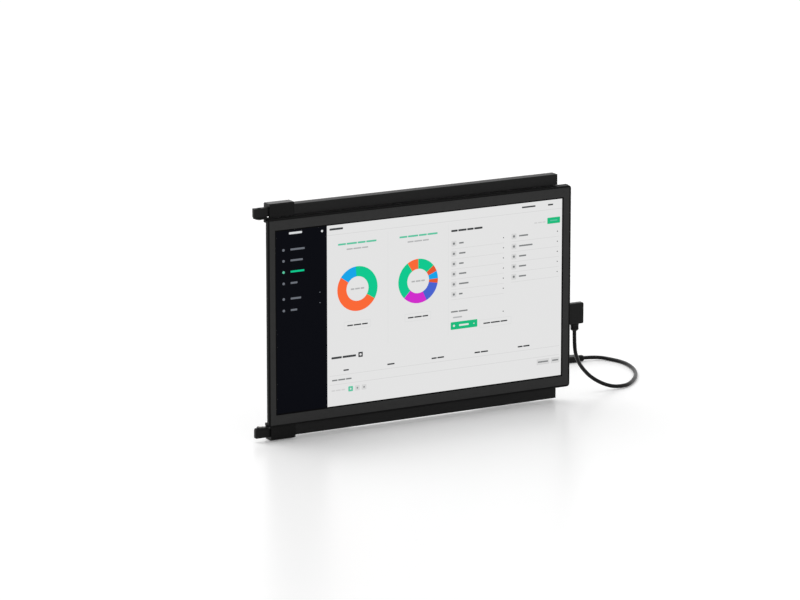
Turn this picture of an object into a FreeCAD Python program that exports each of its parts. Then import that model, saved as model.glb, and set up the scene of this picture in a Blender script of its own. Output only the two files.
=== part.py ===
import FreeCAD, Part
import math
import os
import re
import Sketcher
from FreeCAD import Placement, Rotation, Vector

# Laptop screen extender: a slim second monitor that hangs on the back of a laptop lid.
# Two rails are stuck to the lid. A slider runs in each rail and ends in a friction hinge,
# and the monitor turns on the two hinges, from flat in front of the rails to beside the lid.
# Lengths are in millimetres. +X runs along the rails, +Y goes into the lid, +Z is up.
# The origin is on the lid, behind the middle of the picture.

SIZES = {
    # the picture and the borders round it
    "picture_width": 310.0,
    "picture_height": 174.4,
    "border_left": 8.9,
    "border_right": 9.65,
    "border_long": 12.3,
    # the monitor's depth, from the screen's front to the lid
    "front_reach": 17.0,
    "monitor_depth": 8.4,
    "chassis_depth": 4.0,
    "floor_thick": 1.1,
    "rim_wall": 1.7,
    "corner_radius": 3.0,
    "rim_cut": 0.5,
    # the display stack, from the front to the chassis floor
    "bezel_recess": 0.1,
    "bezel_thick": 0.9,
    "bezel_gap": 0.1,
    "mask_margin": 1.3,
    "cell_margin": 2.5,
    "cell_thick": 0.9,
    "diffuser_thick": 0.2,
    "guide_thick": 0.6,
    "reflector_thick": 0.2,
    "lamp_height": 1.0,
    "frame_gap": 0.2,
    # the back cover and the corner blocks beside it
    "cover_step": 3.5,
    "cover_wall": 1.0,
    "cover_back": 0.8,
    "cover_cut": 1.2,
    "corner_cut": 1.2,
    "mount_length": 16.0,
    "stop_length": 10.15,
    "vent_width": 1.4,
    "vent_length": 9.0,
    "vent_pitch": 4.0,
    "vent_count": 12,
    "vent_side": 100.0,
    "vent_height": 40.0,
    # the rails on the lid
    "rail_setback": 4.7,
    "rail_depth": 10.0,
    "rail_gap": 1.0,
    "rail_height": 10.3,
    "rail_wall": 0.9,
    "rail_lip": 0.8,
    "rail_cut": 0.4,
    "rail_short": 14.65,
    "slot_width": 4.0,
    "cap_thick": 2.0,
    "cap_plug": 4.0,
    "cap_cut": 0.4,
    "cap_fit": 0.05,
    # the collars at the rails' mouths
    "collar_offset": 9.0,
    "collar_length": 26.0,
    "collar_lip": 2.0,
    "collar_front": 0.9,
    "collar_outer": 2.4,
    "collar_back": 0.8,
    "collar_cut": 1.0,
    # the feet that hold the rails on the lid
    "foot_length": 60.0,
    "foot_clear": 4.0,
    "foot_end_gap": 20.0,
    "foot_inset": 0.6,
    "foot_cut": 1.5,
    "pad_thick": 0.5,
    "magnet_length": 8.0,
    "magnet_height": 6.0,
    "magnet_thick": 1.2,
    "magnet_spread": 15.0,
    "foot_screw_spread": 25.0,
    # the sliders and the friction hinges
    "glide_gap": 0.1,
    "tongue_end": 6.0,
    "tongue_cut": 0.5,
    "tongue_depth": 4.4,
    "hinge_reach": 5.1,
    "hinge_depth": 7.8,
    "pin_radius": 1.1,
    "pin_fit": 0.05,
    "pin_head_radius": 1.9,
    "pin_head_thick": 0.6,
    "ear_thick": 0.8,
    "ear_sink": 0.1,
    "ear_radius": 3.6,
    "ear_margin": 0.2,
    "washer_radius": 1.75,
    "washer_play": 0.05,
    "nut_pocket_radius": 1.95,
    "nut_pocket_depth": 3.2,
    "disc_thick": 0.7,
    "disc_radius": 1.85,
    "nut_thick": 1.4,
    "nut_radius": 1.8,
    "pin_proud": 0.4,
    # screws
    "small_shank": 0.75,
    "small_head": 1.4,
    "head_depth": 0.65,
    "cover_shank": 0.8,
    "cover_head": 1.6,
    "boss_radius": 2.2,
    "screw_bite": 0.8,
    "ear_screw_bite": 2.4,
    "cover_screw_end": 24.0,
    "cover_screw_edge": 8.0,
    "ear_screw_first": 5.0,
    "ear_screw_pitch": 6.5,
    # the driver board and the sockets on the right edge
    "board_length": 68.0,
    "board_height": 70.0,
    "board_thick": 0.8,
    "board_lift": 1.4,
    "board_post": 1.8,
    "board_inset": 3.5,
    "chip_thick": 1.1,
    "picture_chip": 14.0,
    "memory_chip": 9.0,
    "power_chip": 10.0,
    "lamp_chip": 6.0,
    "ribbon_width": 30.0,
    "ribbon_thick": 0.3,
    "ribbon_inset": 3.1,
    "socket_height": -28.9,
    "socket_depth": 5.8,
    "socket_length": 7.7,
    "socket_inset": 0.3,
    "socket_wall": 0.3,
    "socket_fit": 0.1,
    "tongue_plate": 0.7,
    "tongue_width": 6.7,
    "tongue_short": 1.3,
    "shell_radius": 1.2,
    "shell_half": 2.925,
    "shell_wall": 0.3,
    "shell_fit": 0.08,
    "shell_reach": 6.2,
    # the two buttons above the socket
    "power_height": 42.0,
    "brightness_height": 22.0,
    "power_length": 7.0,
    "brightness_length": 13.0,
    "button_depth": 2.2,
    "button_proud": 0.6,
    "button_gap": 0.1,
    "button_flange": 0.6,
    "button_travel": 0.5,
    "button_stem": 0.6,
    "switch_length": 3.4,
    "switch_width": 4.0,
    "switch_depth": 2.4,
    "button_board_length": 9.0,
    # the cable with a right-angle plug
    "plug_gap": 0.5,
    "plug_length": 16.6,
    "plug_depth": 6.8,
    "plug_height": 20.8,
    "plug_round": 1.3,
    "plug_rim": 0.8,
    "boot_offset": 8.0,
    "boot_length": 7.0,
    "boot_width": 7.9,
    "boot_depth": 6.0,
    "boot_round": 1.6,
    "boot_cut": 1.0,
    "cord_diameter": 3.8,
    "far_boot_length": 7.0,
    "far_plug_length": 17.0,
    "far_plug_width": 11.5,
    "far_plug_thick": 6.4,
    "far_plug_round": 2.0,
}

# Places that follow from the sizes, each as a formula of sizes and of other places.
PLACES = {
    "left": "-(picture_width / 2 + border_left)",
    "right": "picture_width / 2 + border_right",
    "top": "picture_height / 2 + border_long",
    "front": "-front_reach",
    "back": "front + monitor_depth",
    "chassis_back": "front + chassis_depth",
    "floor_front": "chassis_back - floor_thick",
    "cover_top": "top - cover_step",
    "cover_inside": "back - cover_back",
    "bezel_front": "front + bezel_recess",
    "bezel_back": "bezel_front + bezel_thick",
    "cell_back": "bezel_back + cell_thick",
    "diffuser_back": "cell_back + diffuser_thick",
    "guide_back": "diffuser_back + guide_thick",
    "window_side": "picture_width / 2 + mask_margin",
    "window_top": "picture_height / 2 + mask_margin",
    "cell_side": "window_side + cell_margin",
    "cell_top": "window_top + cell_margin",
    "hinge_x": "left - hinge_reach",
    "hinge_y": "front + hinge_depth",
    "rail_front": "front + rail_setback",
    "rail_back": "rail_front + rail_depth",
    "rail_inner": "top + rail_gap",
    "rail_outer": "rail_inner + rail_height",
    "rail_middle": "(rail_inner + rail_outer) / 2",
    "rail_end": "right - rail_short",
    "slot_front": "hinge_y - slot_width / 2",
    "slot_back": "hinge_y + slot_width / 2",
    "collar_left": "hinge_x + collar_offset",
    "collar_right": "collar_left + collar_length",
    "collar_y_front": "rail_front - collar_front",
    "collar_y_back": "rail_back + collar_back",
    "collar_top": "rail_outer + collar_outer",
    "rail_left": "collar_left + collar_lip",
    "shoe_left": "rail_left + glide_gap",
    "shoe_front": "rail_front + rail_wall + glide_gap",
    "shoe_back": "rail_back - rail_wall - glide_gap",
    "shoe_bottom": "rail_inner + rail_lip + glide_gap",
    "shoe_top": "rail_outer - rail_wall - glide_gap",
    "tongue_back": "shoe_front + tongue_depth",
    "left_foot_x": "collar_right + foot_clear + foot_length / 2",
    "right_foot_x": "rail_end - foot_end_gap - foot_length / 2",
    "foot_back": "-pad_thick",
    "ear_bottom": "top - ear_sink",
    "ear_top": "ear_bottom + ear_thick",
    "ear_right": "left + mount_length - ear_margin",
    "nut_pocket_floor": "shoe_top - nut_pocket_depth",
    "disc_top": "nut_pocket_floor + disc_thick",
    "nut_top": "disc_top + nut_thick",
    "ear_screw_y": "(chassis_back + back) / 2",
    "socket_y": "front + socket_depth",
    "socket_mouth": "right - socket_inset",
    "socket_back": "socket_mouth - socket_length",
    "board_front": "chassis_back + board_lift",
    "board_back": "board_front + board_thick",
    "board_left": "socket_back - board_length",
    "board_low": "socket_height - board_height / 2",
    "board_high": "socket_height + board_height / 2",
    "ribbon_low": "-(cell_top - ribbon_inset)",
    "wall_inside": "right - cover_wall",
    "flange_front": "wall_inside - button_gap / 2",
    "flange_back": "flange_front - button_flange",
    "switch_right": "flange_back - button_stem - button_travel - button_gap",
    "plug_left": "right + plug_gap",
    "plug_right": "plug_left + plug_length",
    "plug_bottom": "socket_height - plug_height / 2",
    "plug_top": "socket_height + plug_height / 2",
    "cord_x": "plug_left + boot_offset",
    "boot_bottom": "plug_bottom - boot_length",
}

# The cord's route after its exit, from the boot down to the table and round to the far plug.
# Only the exit follows the sizes; the other points are where the cord happens to lie.
ROUTE = [
    (179.0, -5.5, -75.0),
    (189.5, 1.0, -88.5),
    (204.0, 2.5, -102.0),
    (222.0, -1.5, -110.8),
    (241.0, 0.5, -112.1),
    (256.5, 13.5, -112.1),
    (270.5, 30.0, -112.1),
    (280.5, 48.5, -112.1),
    (287.0, 67.5, -112.1),
    (289.0, 86.0, -112.1),
    (284.5, 101.5, -112.1),
    (274.0, 110.5, -110.8),
    (260.5, 113.0, -110.8),
]
STRAIGHT_EXIT = 15.0
ARC_SHARE = 0.45
CORD_SIDES = 10

# Small screws, their holes and their posts have flat sides, because nothing turns in them.
SCREW_SIDES = 8
RING_SIDES = 16
NUT_SIDES = 6

# Where a sketch's points start, beside their circle, before the formulas place them.
START_OFFSET = 2.0

# Where each chip's middle lies on the driver board, as shares of its length and of its height.
CHIP_PLACES = {
    "picture_chip": (0.3, 0.65),
    "memory_chip": (0.7, 0.72),
    "power_chip": (0.35, 0.25),
    "lamp_chip": (0.68, 0.3),
}

doc = FreeCAD.newDocument("screen_extender")
sheet = doc.addObject("Spreadsheet::Sheet", "sizes")
for row, (word, number) in enumerate(SIZES.items(), start=1):
    sheet.set("A%d" % row, word)
    sheet.set("B%d" % row, str(number))
    sheet.setAlias("B%d" % row, word)
doc.recompute()

NODES = {}


# Formulas

def formula(text):
    """Write a formula of sizes and places as one that the sheet can work out."""
    def swap(match):
        word = match.group(0)
        if word in PLACES:
            return "(" + formula(PLACES[word]) + ")"
        return "sizes." + word if word in SIZES else word
    return re.sub(r"[a-z][a-z_]+", swap, str(text))


def size(word):
    """Read one size from the sheet."""
    return float(sheet.get(word))


def bind(thing, **formulas):
    """Tie properties to formulas; a double underscore stands for a dot."""
    for name, text in formulas.items():
        thing.setExpression(name.replace("__", "."), formula(text))


# Plain solids

TURN = {
    "X": Rotation(Vector(0, 1, 0), 90),
    "Y": Rotation(Vector(1, 0, 0), -90),
    "Z": Rotation(),
}


def put(thing, axis, across, start):
    """Stand a round solid on an axis: across holds its two other coordinates in X, Y, Z order."""
    thing.Placement = Placement(Vector(), TURN[axis])
    spot = list(across)
    spot.insert("XYZ".index(axis), start)
    bind(thing, Placement__Base__x=spot[0], Placement__Base__y=spot[1], Placement__Base__z=spot[2])
    return thing


def box(name, x, y, z):
    """A box between two formulas on each axis."""
    thing = doc.addObject("Part::Box", name)
    bind(thing, Length="(%s) - (%s)" % (x[1], x[0]), Width="(%s) - (%s)" % (y[1], y[0]),
         Height="(%s) - (%s)" % (z[1], z[0]))
    bind(thing, Placement__Base__x=x[0], Placement__Base__y=y[0], Placement__Base__z=z[0])
    return thing


def rod(name, axis, across, start, end, radius):
    """A round bar along an axis."""
    thing = doc.addObject("Part::Cylinder", name)
    bind(thing, Radius=radius, Height="(%s) - (%s)" % (end, start))
    return put(thing, axis, across, start)


def prism(name, axis, across, start, end, radius, sides=SCREW_SIDES):
    """A bar with flat sides along an axis; its radius is measured to its corners."""
    thing = doc.addObject("Part::Prism", name)
    thing.Polygon = sides
    bind(thing, Circumradius=radius, Height="(%s) - (%s)" % (end, start))
    return put(thing, axis, across, start)


def join(name, parts):
    """Fuse solids that touch into one."""
    thing = doc.addObject("Part::MultiFuse", name)
    thing.Shapes = parts
    return thing


def group(name, parts):
    """Keep separate solids together in one node."""
    thing = doc.addObject("Part::Compound", name)
    thing.Links = parts
    return thing


def cut(name, base, tools):
    """Take one or more solids out of another."""
    thing = doc.addObject("Part::Cut", name)
    thing.Base = base
    thing.Tool = tools[0] if len(tools) == 1 else group(name + "_tools", tools)
    return thing


def mirror(name, source):
    """The same piece, turned over into the bottom half."""
    thing = doc.addObject("Part::Mirroring", name)
    thing.Source = source
    thing.Normal = Vector(0, 0, 1)
    return thing


def node(label, thing):
    """Name a finished piece."""
    thing.Label = label
    NODES[label] = thing
    return thing


def pair(label, thing):
    """Name a piece of the top half and its mirror image in the bottom half."""
    node("top_" + label, thing)
    node("bottom_" + label, mirror("bottom_" + label, thing))


# Bodies made from sketches

PLANES = {"X": "YZ_Plane", "Y": "XZ_Plane", "Z": "XY_Plane"}


def body(name):
    return doc.addObject("PartDesign::Body", name)


def rectangle(u, v):
    """The corners of a rectangle, in order."""
    return [(u[0], v[0]), (u[1], v[0]), (u[1], v[1]), (u[0], v[1])]


def draw(owner, normal, outline, height):
    """A closed outline square to an axis, at a height along it, with every corner tied down."""
    sketch = owner.newObject("Sketcher::SketchObject", owner.Name + "_outline")
    plane = [part for part in owner.Origin.OriginFeatures if part.Role == PLANES[normal]][0]
    sketch.AttachmentSupport = [(plane, "")]
    sketch.MapMode = "FlatFace"
    facing = "-(%s)" if normal == "Y" else "%s"
    bind(sketch, AttachmentOffset__Base__z=facing % height)
    count = len(outline)
    around = [Vector(math.cos(step * math.tau / count), math.sin(step * math.tau / count), 0)
              for step in range(count)]
    for step in range(count):
        sketch.addGeometry(Part.LineSegment(around[step], around[(step + 1) % count]))
    for step in range(count):
        sketch.addConstraint(Sketcher.Constraint("Coincident", step, 2, (step + 1) % count, 1))
    for step, (u, v) in enumerate(outline):
        for kind, text, start in (("DistanceX", u, around[step].x), ("DistanceY", v, around[step].y)):
            index = sketch.addConstraint(Sketcher.Constraint(kind, -1, 1, step, 1,
                                                                 start + START_OFFSET))
            sketch.setExpression("Constraints[%d]" % index, formula(text))
    return sketch


def pad(owner, normal, outline, start, end):
    """Add a prism between two heights along an axis."""
    sketch = draw(owner, normal, outline, start)
    feature = owner.newObject("PartDesign::Pad", owner.Name + "_pad")
    feature.Profile = sketch
    feature.Reversed = normal == "Y"
    bind(feature, Length="(%s) - (%s)" % (end, start))
    return feature


def pocket(owner, normal, outline, start, end):
    """Cut a prism between two heights along an axis."""
    sketch = draw(owner, normal, outline, start)
    feature = owner.newObject("PartDesign::Pocket", owner.Name + "_pocket")
    feature.Profile = sketch
    feature.Reversed = normal != "Y"
    bind(feature, Length="(%s) - (%s)" % (end, start))
    return feature


def outer_edges(shape, axis):
    """Names of the straight edges along an axis that lie on the solid's bounding box."""
    tiny = 1e-4
    whole = shape.BoundBox
    names = []
    for index, edge in enumerate(shape.Edges, start=1):
        around = edge.BoundBox
        spans = {"X": (around.XMin, around.XMax, whole.XMin, whole.XMax),
                 "Y": (around.YMin, around.YMax, whole.YMin, whole.YMax),
                 "Z": (around.ZMin, around.ZMax, whole.ZMin, whole.ZMax)}
        if spans[axis][1] - spans[axis][0] < tiny:
            continue
        across = [spans[other] for other in "XYZ" if other != axis]
        if all(high - low < tiny and min(abs(low - first), abs(low - last)) < tiny
               for low, high, first, last in across):
            names.append("Edge%d" % index)
    return names


def face_edges(shape, axis, side):
    """Names of the edges of the outermost flat face on one side of an axis."""
    tiny = 1e-4
    rims = []
    limit = {"X": (shape.BoundBox.XMin, shape.BoundBox.XMax),
             "Y": (shape.BoundBox.YMin, shape.BoundBox.YMax),
             "Z": (shape.BoundBox.ZMin, shape.BoundBox.ZMax)}[axis][side]
    for index, edge in enumerate(shape.Edges, start=1):
        around = edge.BoundBox
        low, high = {"X": (around.XMin, around.XMax), "Y": (around.YMin, around.YMax),
                     "Z": (around.ZMin, around.ZMax)}[axis]
        if abs(low - limit) < tiny and abs(high - limit) < tiny:
            rims.append("Edge%d" % index)
    return rims


def soften(owner, kind, edges, amount):
    """Fillet or chamfer edges of a body's last feature."""
    base = owner.Tip
    feature = owner.newObject("PartDesign::" + kind, owner.Name + "_" + kind.lower())
    feature.Base = (base, edges)
    bind(feature, **{"Radius" if kind == "Fillet" else "Size": amount})
    doc.recompute()
    return feature


def rounded(owner, axis, amount):
    """Round the four outer edges along one axis."""
    doc.recompute()
    return soften(owner, "Fillet", outer_edges(owner.Shape, axis), amount)


def corners_cut(owner, axis, amount):
    """Chamfer the four outer edges along one axis."""
    doc.recompute()
    return soften(owner, "Chamfer", outer_edges(owner.Shape, axis), amount)


def rim_chamfer(owner, axis, side, amount):
    """Chamfer the rim of the outermost face on one side."""
    doc.recompute()
    return soften(owner, "Chamfer", face_edges(owner.Shape, axis, side), amount)


def flush_screw(name, axis, across, face, tip, shank, head):
    """A screw driven towards the lower end of its axis, with its head sunk flush into a face."""
    neck = "(%s) - head_depth" % face
    return join(name, [prism(name + "_head", axis, across, neck, face, head),
                       prism(name + "_shank", axis, across, tip, neck, shank)])


def stadium(name, across_y, across_z, start, end, radius, half):
    """A bar along X with a flat-sided round section, as a small socket has."""
    low, high = "%s - (%s)" % (across_z, half), "%s + (%s)" % (across_z, half)
    middle = box(name + "_flat", (start, end), ("%s - (%s)" % (across_y, radius),
                 "%s + (%s)" % (across_y, radius)), (low, high))
    ends = [rod(name + "_round", "X", (across_y, spot), start, end, radius) for spot in (low, high)]
    return join(name, [middle] + ends)


# Rails: a channel with a slot towards the monitor, for the hinge pin to travel along

def make_rails():
    channel = body("rail_channel")
    pad(channel, "X", [
        ("rail_front", "rail_inner"),
        ("slot_front", "rail_inner"),
        ("slot_front", "rail_inner + rail_lip"),
        ("rail_front + rail_wall", "rail_inner + rail_lip"),
        ("rail_front + rail_wall", "rail_outer - rail_wall"),
        ("rail_back - rail_wall", "rail_outer - rail_wall"),
        ("rail_back - rail_wall", "rail_inner + rail_lip"),
        ("slot_back", "rail_inner + rail_lip"),
        ("slot_back", "rail_inner"),
        ("rail_back", "rail_inner"),
        ("rail_back", "rail_outer - rail_cut"),
        ("rail_back - rail_cut", "rail_outer"),
        ("rail_front + rail_cut", "rail_outer"),
        ("rail_front", "rail_outer - rail_cut"),
    ], "rail_left", "rail_end")
    places = ["(collar_left + collar_right) / 2"]
    places += ["%s_foot_x + %d * foot_screw_spread" % (side, step)
               for side in ("left", "right") for step in (-1, 1)]
    holes = [prism("rail_hole", "Y", (place, "rail_middle"), "rail_back - rail_wall", "rail_back",
                   "small_shank") for place in places]
    pair("rail", cut("rail", channel, holes))

    cap = body("rail_cap")
    pad(cap, "X", rectangle(("rail_front", "rail_back"), ("rail_inner", "rail_outer")),
        "rail_end", "rail_end + cap_thick")
    corners_cut(cap, "X", "cap_cut")
    rim_chamfer(cap, "X", 1, "cap_cut")
    pad(cap, "X", rectangle(
        ("rail_front + rail_wall + cap_fit", "rail_back - rail_wall - cap_fit"),
        ("rail_inner + rail_lip + cap_fit", "rail_outer - rail_wall - cap_fit")),
        "rail_end - cap_plug", "rail_end")
    pair("end_cap", cap)


# Collars: they close the rails' mouths round the sliders and stop them from coming out

def make_collars():
    collar = body("collar_sleeve")
    pad(collar, "X", [
        ("collar_y_front", "rail_inner"),
        ("rail_front", "rail_inner"),
        ("rail_front", "rail_outer"),
        ("rail_back", "rail_outer"),
        ("rail_back", "rail_inner"),
        ("collar_y_back", "rail_inner"),
        ("collar_y_back", "collar_top"),
        ("collar_y_front", "collar_top"),
    ], "rail_left", "collar_right")
    window = ("shoe_front - glide_gap", "tongue_back + glide_gap")
    pad(collar, "X", [
        ("collar_y_front", "rail_inner"),
        (window[0], "rail_inner"),
        (window[0], "shoe_top + glide_gap"),
        (window[1], "shoe_top + glide_gap"),
        (window[1], "rail_inner"),
        ("collar_y_back", "rail_inner"),
        ("collar_y_back", "collar_top"),
        ("collar_y_front", "collar_top"),
    ], "collar_left", "rail_left")
    doc.recompute()
    long_edges = [name for name in outer_edges(collar.Shape, "X")
                  if collar.Shape.getElement(name).BoundBox.ZMin > collar.Shape.BoundBox.Center.z]
    soften(collar, "Chamfer", long_edges, "collar_cut")
    spot = ("(collar_left + collar_right) / 2", "rail_middle")
    screw = flush_screw("collar_screw", "Y", spot, "collar_y_back", "rail_back - rail_wall",
                        "small_shank", "small_head")
    hole = flush_screw("collar_hole", "Y", spot, "collar_y_back", "rail_back",
                       "small_shank", "small_head")
    pair("collar", cut("collar", collar, [hole]))
    node("collar_screws", group("collar_screws", [screw, mirror("bottom_collar_screw", screw)]))


# Feet: short blocks behind the rails, with magnets and adhesive pads for the lid

def make_feet():
    low, high = "rail_inner + foot_inset", "rail_outer - foot_inset"
    magnets, pads, screws = [], [], []
    for side in ("left", "right"):
        centre = side + "_foot_x"
        reach = ("%s - foot_length / 2" % centre, "%s + foot_length / 2" % centre)
        foot = body("foot_" + side)
        pad(foot, "Y", rectangle(reach, (low, high)), "rail_back", "foot_back")
        corners_cut(foot, "Y", "foot_cut")
        tools = []
        for step in (-1, 1):
            along = "%s + %d * magnet_spread" % (centre, step)
            seat = (("%s - magnet_length / 2" % along, "%s + magnet_length / 2" % along),
                    ("foot_back - magnet_thick", "foot_back"),
                    ("rail_middle - magnet_height / 2", "rail_middle + magnet_height / 2"))
            magnet = box("magnet", *seat)
            magnets += [magnet, mirror("bottom_magnet", magnet)]
            tools.append(box("magnet_seat", *seat))
            spot = ("%s + %d * foot_screw_spread" % (centre, step), "rail_middle")
            screw = flush_screw("foot_screw", "Y", spot, "foot_back", "rail_back - rail_wall",
                                "small_shank", "small_head")
            screws += [screw, mirror("bottom_foot_screw", screw)]
            tools.append(flush_screw("foot_hole", "Y", spot, "foot_back", "rail_back",
                                     "small_shank", "small_head"))
        pair(side + "_foot", cut("foot_%s_bored" % side, foot, tools))
        sticker = body("sticker_" + side)
        pad(sticker, "Y", rectangle(reach, (low, high)), "foot_back", "foot_back + pad_thick")
        corners_cut(sticker, "Y", "foot_cut")
        pads += [sticker, mirror("bottom_sticker", sticker)]
    node("foot_magnets", group("foot_magnets", magnets))
    node("foot_screws", group("foot_screws", screws))
    node("adhesive_pads", group("adhesive_pads", pads))


# Sliders: a shoe that fills the rail's cavity and a tongue that holds the hinge pin

def make_sliders():
    slider = body("slider_block")
    pad(slider, "X", rectangle(("shoe_front", "shoe_back"), ("shoe_bottom", "shoe_top")),
        "shoe_left", "collar_right")
    pad(slider, "X", rectangle(("shoe_front", "tongue_back"), ("shoe_bottom", "shoe_top")),
        "hinge_x - tongue_end", "shoe_left")
    rim_chamfer(slider, "X", 0, "tongue_cut")
    axis = ("hinge_x", "hinge_y")
    bore = rod("pin_bore", "Z", axis, "shoe_bottom", "shoe_top", "pin_radius + pin_fit")
    seat = rod("nut_pocket", "Z", axis, "nut_pocket_floor", "shoe_top", "nut_pocket_radius")
    pair("slider", cut("slider", slider, [join("hinge_bore", [bore, seat])]))
    washer = cut("washer", prism("washer_disc", "Z", axis, "ear_top + washer_play", "shoe_bottom",
                                 "washer_radius", RING_SIDES),
                 [prism("washer_bore", "Z", axis, "ear_top + washer_play", "shoe_bottom",
                        "pin_radius + pin_fit", RING_SIDES)])
    node("hinge_washers", group("hinge_washers", [washer, mirror("bottom_washer", washer)]))


# Hinges: an ear screwed to the monitor's corner, and a pin held down by a spring disc and a nut

def make_hinges():
    axis = ("hinge_x", "hinge_y")
    flat = box("ear_plate", ("hinge_x", "ear_right"),
               ("hinge_y - ear_radius", "back - ear_margin"), ("ear_bottom", "ear_top"))
    eye = rod("ear_eye", "Z", axis, "ear_bottom", "ear_top", "ear_radius")
    tools = [rod("ear_hole", "Z", axis, "ear_bottom", "ear_top", "pin_radius")]
    screws = []
    for step in range(2):
        spot = ("left + ear_screw_first + %d * ear_screw_pitch" % step, "ear_screw_y")
        screw = flush_screw("ear_screw", "Z", spot, "ear_top", "ear_bottom - ear_screw_bite",
                            "small_shank", "small_head")
        screws += [screw, mirror("bottom_ear_screw", screw)]
        tools.append(flush_screw("ear_screw_hole", "Z", spot, "ear_top", "ear_bottom",
                                 "small_shank", "small_head"))
    pair("hinge_ear", cut("hinge_ear", join("ear_outline", [flat, eye]), tools))
    node("ear_screws", group("ear_screws", screws))

    pin = join("pin", [rod("pin_shank", "Z", axis, "ear_bottom", "nut_top + pin_proud", "pin_radius"),
                       rod("pin_head", "Z", axis, "ear_bottom - pin_head_thick", "ear_bottom",
                           "pin_head_radius")])
    node("hinge_pins", group("hinge_pins", [pin, mirror("bottom_pin", pin)]))
    disc = cut("disc", prism("disc_plate", "Z", axis, "nut_pocket_floor + washer_play", "disc_top",
                             "disc_radius", RING_SIDES),
               [prism("disc_bore", "Z", axis, "nut_pocket_floor", "disc_top",
                      "pin_radius + pin_fit", RING_SIDES)])
    node("spring_discs", group("spring_discs", [disc, mirror("bottom_disc", disc)]))
    hexagon = prism("nut_hexagon", "Z", axis, "disc_top", "nut_top", "nut_radius",
                    NUT_SIDES)
    nut = cut("nut", hexagon, [rod("nut_thread", "Z", axis, "disc_top", "nut_top", "pin_radius")])
    node("hinge_nuts", group("hinge_nuts", [nut, mirror("bottom_nut", nut)]))


# Chassis: the monitor's black middle frame, a tray for the display with hinge blocks behind

def cover_screw_spots():
    return [(across, "%d * (cover_top - cover_screw_edge)" % up)
            for across in ("left + cover_screw_end", "0", "right - cover_screw_end")
            for up in (-1, 1)]


def board_spots():
    return [(x, z) for x in ("board_left + board_inset", "socket_back - board_inset")
            for z in ("board_low + board_inset", "board_high - board_inset")]


def corner_block(owner, side, inner, start, end, outer):
    """A block beside the cover at one long edge, with its free corner cut off."""
    outline = [(inner, "cover_top"), (side, "cover_top"), (side, "%s - corner_cut" % outer),
               ("%s + %s" % (side, "corner_cut" if side == "left" else "-corner_cut"), outer),
               (inner, outer)]
    pad(owner, "Y", outline, start, end)


def make_chassis():
    tray = body("chassis_tray")
    pad(tray, "Y", rectangle(("left", "right"), ("-(top)", "top")), "front", "chassis_back")
    rounded(tray, "Y", "corner_radius")
    rim_chamfer(tray, "Y", 0, "rim_cut")
    inside = rectangle(("left + rim_wall", "right - rim_wall"),
                       ("-(top - rim_wall)", "top - rim_wall"))
    pocket(tray, "Y", inside, "front", "floor_front")
    block = body("hinge_block")
    corner_block(block, "left", "left + mount_length", "chassis_back", "back", "ear_bottom")
    posts = [prism("board_post", "Y", spot, "chassis_back", "board_front", "board_post")
             for spot in board_spots()]
    whole = join("chassis_whole", [tray, block, mirror("bottom_hinge_block", block)] + posts)
    tools = [prism("cover_thread", "Y", spot, "chassis_back - screw_bite", "chassis_back",
                   "cover_shank") for spot in cover_screw_spots()]
    tools += [prism("board_thread", "Y", spot, "chassis_back - screw_bite", "board_front",
                    "small_shank") for spot in board_spots()]
    for step in range(2):
        spot = ("left + ear_screw_first + %d * ear_screw_pitch" % step, "ear_screw_y")
        thread = prism("ear_thread", "Z", spot, "ear_bottom - ear_screw_bite", "ear_bottom",
                       "small_shank")
        tools += [thread, mirror("bottom_ear_thread", thread)]
    tools.append(box("ribbon_slot", ribbon_reach(), ("floor_front", "chassis_back"),
                     ("ribbon_low", "ribbon_low + ribbon_thick")))
    node("chassis", cut("chassis", whole, tools))

    stop = body("end_stop")
    corner_block(stop, "right", "right - stop_length", "chassis_back", "back", "top")
    pair("end_stop", stop)


# Display: the bezel in front, then the cell with the picture, and the backlight behind it

def make_display():
    bezel = body("front_bezel")
    edge = "rim_wall + bezel_gap"
    pad(bezel, "Y", rectangle(("left + " + edge, "right - (%s)" % edge),
                              ("-(top - (%s))" % edge, "top - (%s)" % edge)),
        "bezel_front", "bezel_back")
    pocket(bezel, "Y", rectangle(("-(window_side)", "window_side"),
                                 ("-(window_top)", "window_top")),
           "bezel_front", "bezel_back")
    node("front_bezel", bezel)
    side, height = ("-(cell_side)", "cell_side"), ("-(cell_top)", "cell_top")
    node("display_cell", box("display_cell", side, ("bezel_back", "cell_back"), height))
    above_lamp = ("-(cell_top) + lamp_height", "cell_top")
    node("diffuser_sheet", box("diffuser_sheet", side, ("cell_back", "diffuser_back"), height))
    node("light_guide", box("light_guide", side, ("diffuser_back", "guide_back"), above_lamp))
    node("lamp_strip", box("lamp_strip", side, ("diffuser_back", "guide_back"),
                           ("-(cell_top)", "-(cell_top) + lamp_height")))
    node("reflector_sheet", box("reflector_sheet", side, ("guide_back", "floor_front"), height))
    frame = body("panel_frame")
    pad(frame, "Y", rectangle(("left + " + edge, "right - (%s)" % edge),
                              ("-(top - (%s))" % edge, "top - (%s)" % edge)),
        "bezel_back", "floor_front")
    pocket(frame, "Y", rectangle(("-(cell_side + frame_gap)", "cell_side + frame_gap"),
                                 ("-(cell_top + frame_gap)", "cell_top + frame_gap")),
           "bezel_back", "floor_front")
    node("panel_frame", frame)


# Back cover: a shallow shell over the electronics, with vents and openings in its right wall

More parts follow.
